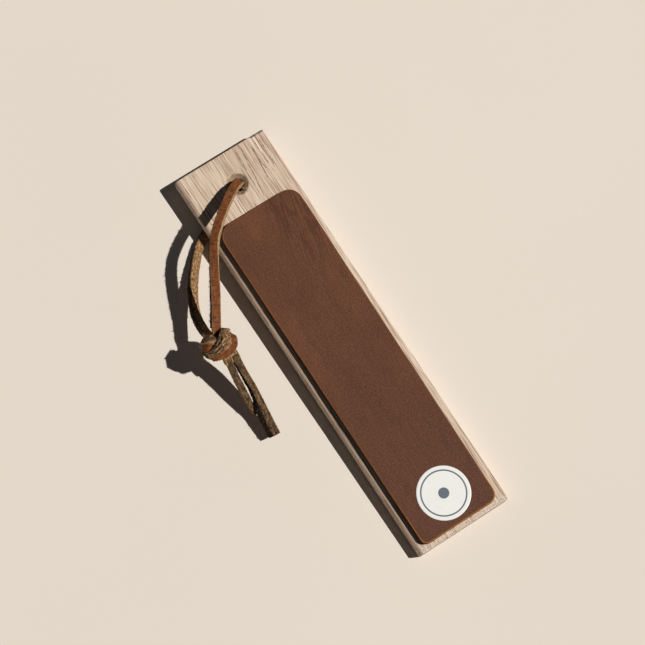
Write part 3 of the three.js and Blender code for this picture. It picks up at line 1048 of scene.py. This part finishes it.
def build_glue():
    middle, size = on_paddle("glue_layer")
    profile = [(0.1 * MM, 0), (0, 0.1 * MM), (0, GLUE_TOP - 0.1 * MM), (0.1 * MM, GLUE_TOP)]

    def squeeze(point, out, level):
        place = point / MM
        return out * 0.42 * MM * noise.noise((place.x * 0.25, place.y * 0.25, 2))

    mesh = slab(size, [radius - GLUE_INSET for radius in PAD_RADII], profile, GLUE_GRID, squeeze)
    taper(mesh, size, GLUE_INSET)
    mesh.transform(Matrix.Translation((middle.x, 0, BOARD_SIZE[2] - 0.02 * MM)))
    shade = Shade("glue", roughness=0.4, specular=0.45)
    place = shade.attribute("place")
    # Painted shade: the glue's brown is darkened so that the line under the pad's edge reads as part of the pad's
    # shadow.
    tone = shade.noise(place, 0.7, 4, 0.6)
    colour = shade.ramp(tone, (0.3, (66, 45, 28)), (0.7, (110, 80, 50)))
    material = shade.done(colour, shade.ramp(tone, (0.3, 0.3), (0.7, 0.55)), shade.bump(tone, 0.0002, 0.6))
    finish_paddle_piece(mesh, "glue_line", "glue_layer", [material])


def leather_push(point, out, level):
    """The cut side wanders a little, and the face has shallow hollows."""
    place = point / MM
    if out.length:
        wander = noise.noise((place.x * 0.04, place.y * 0.04, 1))
        rough = noise.noise((place.x * 0.9, place.y * 0.9, level * 0.8))
        return out * (0.14 * wander + 0.08 * rough) * MM
    if level == 0:
        return Vector()
    hollow = 0.05 * noise.noise((place.x * 0.04, place.y * 0.07, 5))
    return Vector((0, 0, hollow * MM))


def build_pad():
    middle, size = on_paddle("stropping_leather")
    thickness = middle.z + size[2] - BOARD_SIZE[2] - PAD_BASE
    profile = [(0.12 * MM, 0), (0, 0.12 * MM)]
    profile += [(0, thickness * share) for share in (0.2, 0.36, 0.52, 0.7)]
    profile += rounded_over(PAD_ARRIS, thickness)
    mesh = slab(size, PAD_RADII, profile, PAD_GRID, leather_push)
    add_attribute(mesh, "edge", edge_distances(mesh, size, PAD_RADII))
    for polygon in mesh.polygons:
        polygon.material_index = 1 if abs(polygon.normal.z) < 0.6 else 0
    taper(mesh, size)
    mesh.transform(Matrix.Translation((middle.x, 0, BOARD_SIZE[2] + PAD_BASE)))
    materials = [pad_face_material(), shaded_pad_side_material()]
    finish_paddle_piece(mesh, "leather_pad", "stropping_leather", materials)


def pad_face_material():
    shade = Shade("pad_face", roughness=0.62, specular=0.12)
    place = shade.attribute("place")
    edge = shade.split(shade.attribute("edge"))[0]
    x, y = shade.split(place)[:2]
    cloud = shade.noise(place, (0.025, 0.045, 0.045), 5, 0.6)
    base = shade.ramp(cloud, (0.32, (91, 56, 36)), (0.5, (101, 62, 41)), (0.68, (111, 68, 45)))
    base = shade.mix(shade.rise(x, 0, -100, 0.55), base, (90, 58, 43))
    streaks = shade.noise(place, (0.05, 0.3, 0.3), 4, 0.6)
    base = shade.tint(base, streaks, (0.36, 0.4), (0.5, 0), (84, 53, 37))
    mottle = shade.noise(place, 0.9, 6, 0.8)
    base = shade.tint(base, mottle, (0.36, 0.4), (0.5, 0), (74, 46, 32))
    base = shade.tint(base, mottle, (0.52, 0), (0.68, 0.35), (128, 88, 66))
    grit = shade.noise(place, 2.2, 3, 0.75)
    base = shade.tint(base, grit, (0.36, 0.8), (0.48, 0), (62, 37, 26))
    base = shade.tint(base, grit, (0.54, 0), (0.66, 0.7), (138, 95, 72))

    creasing = shade.noise(shade.shift_y(place, shade.times(x, 0.22)), (0.03, 0.26, 0.26), 4, 0.6, 0.3)
    crease = shade.ramp(shade.math("ABSOLUTE", shade.minus(creasing, 0.5)), (0, 1), (0.07, 0))
    near_hole = shade.times(shade.rise(x, 28, 52), shade.rise(y, 0, -8))
    crease = shade.times(crease, near_hole)
    base = shade.mix(shade.times(crease, 0.6), base, (66, 41, 28))

    worn = shade.noise(place, (0.12, 0.12, 0.6), 4, 0.65)
    frayed = shade.plus(edge, shade.times(worn, -0.8))
    base = shade.mix(shade.rise(frayed, 0.3, 0, 0.75), base, (128, 78, 45))
    golden = shade.math("MAXIMUM", shade.rise(x, -84, -92), shade.rise(y, 15, 20, 0.3))
    ragged = shade.plus(edge, shade.times(shade.noise(place, 0.6, 4, 0.7), -0.9))
    base = shade.mix(shade.times(golden, shade.rise(ragged, 0.12, 0, 0.7)), base, (178, 112, 40))
    pebble = shade.cells(place, 1.5)
    fine = shade.noise(place, 3.2, 3, 0.6)
    height = shade.plus(shade.times(pebble, 0.5), shade.times(fine, 0.6))
    height = shade.minus(height, shade.times(crease, 0.9))
    normal = shade.bump(streaks, 0.0003, 0.5, shade.bump(height, 0.00014, 0.7))
    return shade.done(base, shade.ramp(mottle, (0.3, 0.64), (0.7, 0.5)), normal)


# Painted shade: the pad's cut side, all round, is coloured far darker than raw leather, so that on the side away
# from the light it and the pad's shadow read as one black band.
def shaded_pad_side_material():
    shade = Shade("pad_side_painted_shade", roughness=0.85, specular=0.2)
    place = shade.attribute("place")
    fibre = shade.noise(place, (0.9, 0.9, 3), 5, 0.65)
    colour = shade.ramp(fibre, (0.28, (44, 27, 17)), (0.5, (70, 44, 27)), (0.75, (104, 70, 42)))
    return shade.done(colour, None, shade.bump(fibre, 0.0002, 0.8))


# ---- the round label
def build_label():
    middle, size = on_paddle("round_label")
    radius = size[0] / 2
    top = middle.z + size[2] - 0.04 * MM
    base = top - 0.28 * MM
    side = [(radius, base), (radius, top - 0.1 * MM), (radius - 0.12 * MM, top)]
    side += [(share * radius, top) for share in np.linspace(0.96, 0.08, 14)]

    def rippled(turn, reach, height):
        spot = Vector((middle.x + math.cos(turn) * reach, middle.y + math.sin(turn) * reach, height))
        ripple = 0.03 * MM * noise.noise(spot / MM * 0.16)
        return spot + Vector((0, 0, ripple if height > base else 0))

    mesh = turned("label", side, 96, rippled)

    shade = Shade("label_vinyl", roughness=0.42, specular=0.45)
    place = shade.attribute("place")
    centre = (middle.x / MM, middle.y / MM, top / MM)
    away = shade.node("ShaderNodeVectorMath", {0: place, 1: centre}, operation="DISTANCE").outputs["Value"]
    far = shade.math("DIVIDE", away, radius / MM)
    ring_in = shade.ramp(far, (0.8, 0), (0.806, 1), (0.856, 1), (0.862, 0))
    disc = shade.rise(far, 0.206, 0.2)
    paper = shade.mix(shade.noise(place, 0.5, 4, 0.6), (244, 242, 236), (236, 233, 225))
    colour = shade.mix(shade.math("MAXIMUM", ring_in, disc), paper, (92, 104, 112))
    grain = shade.noise(place, 2.5, 2, 0.5)
    material = shade.done(colour, shade.ramp(grain, (0.3, 0.36), (0.7, 0.5)), shade.bump(grain, 0.00004, 0.5))
    finish_paddle_piece(mesh, "label", "round_label", [material])


build_camera()
build_studio()
build_lace()
build_board()
build_glue()
build_pad()
build_label()
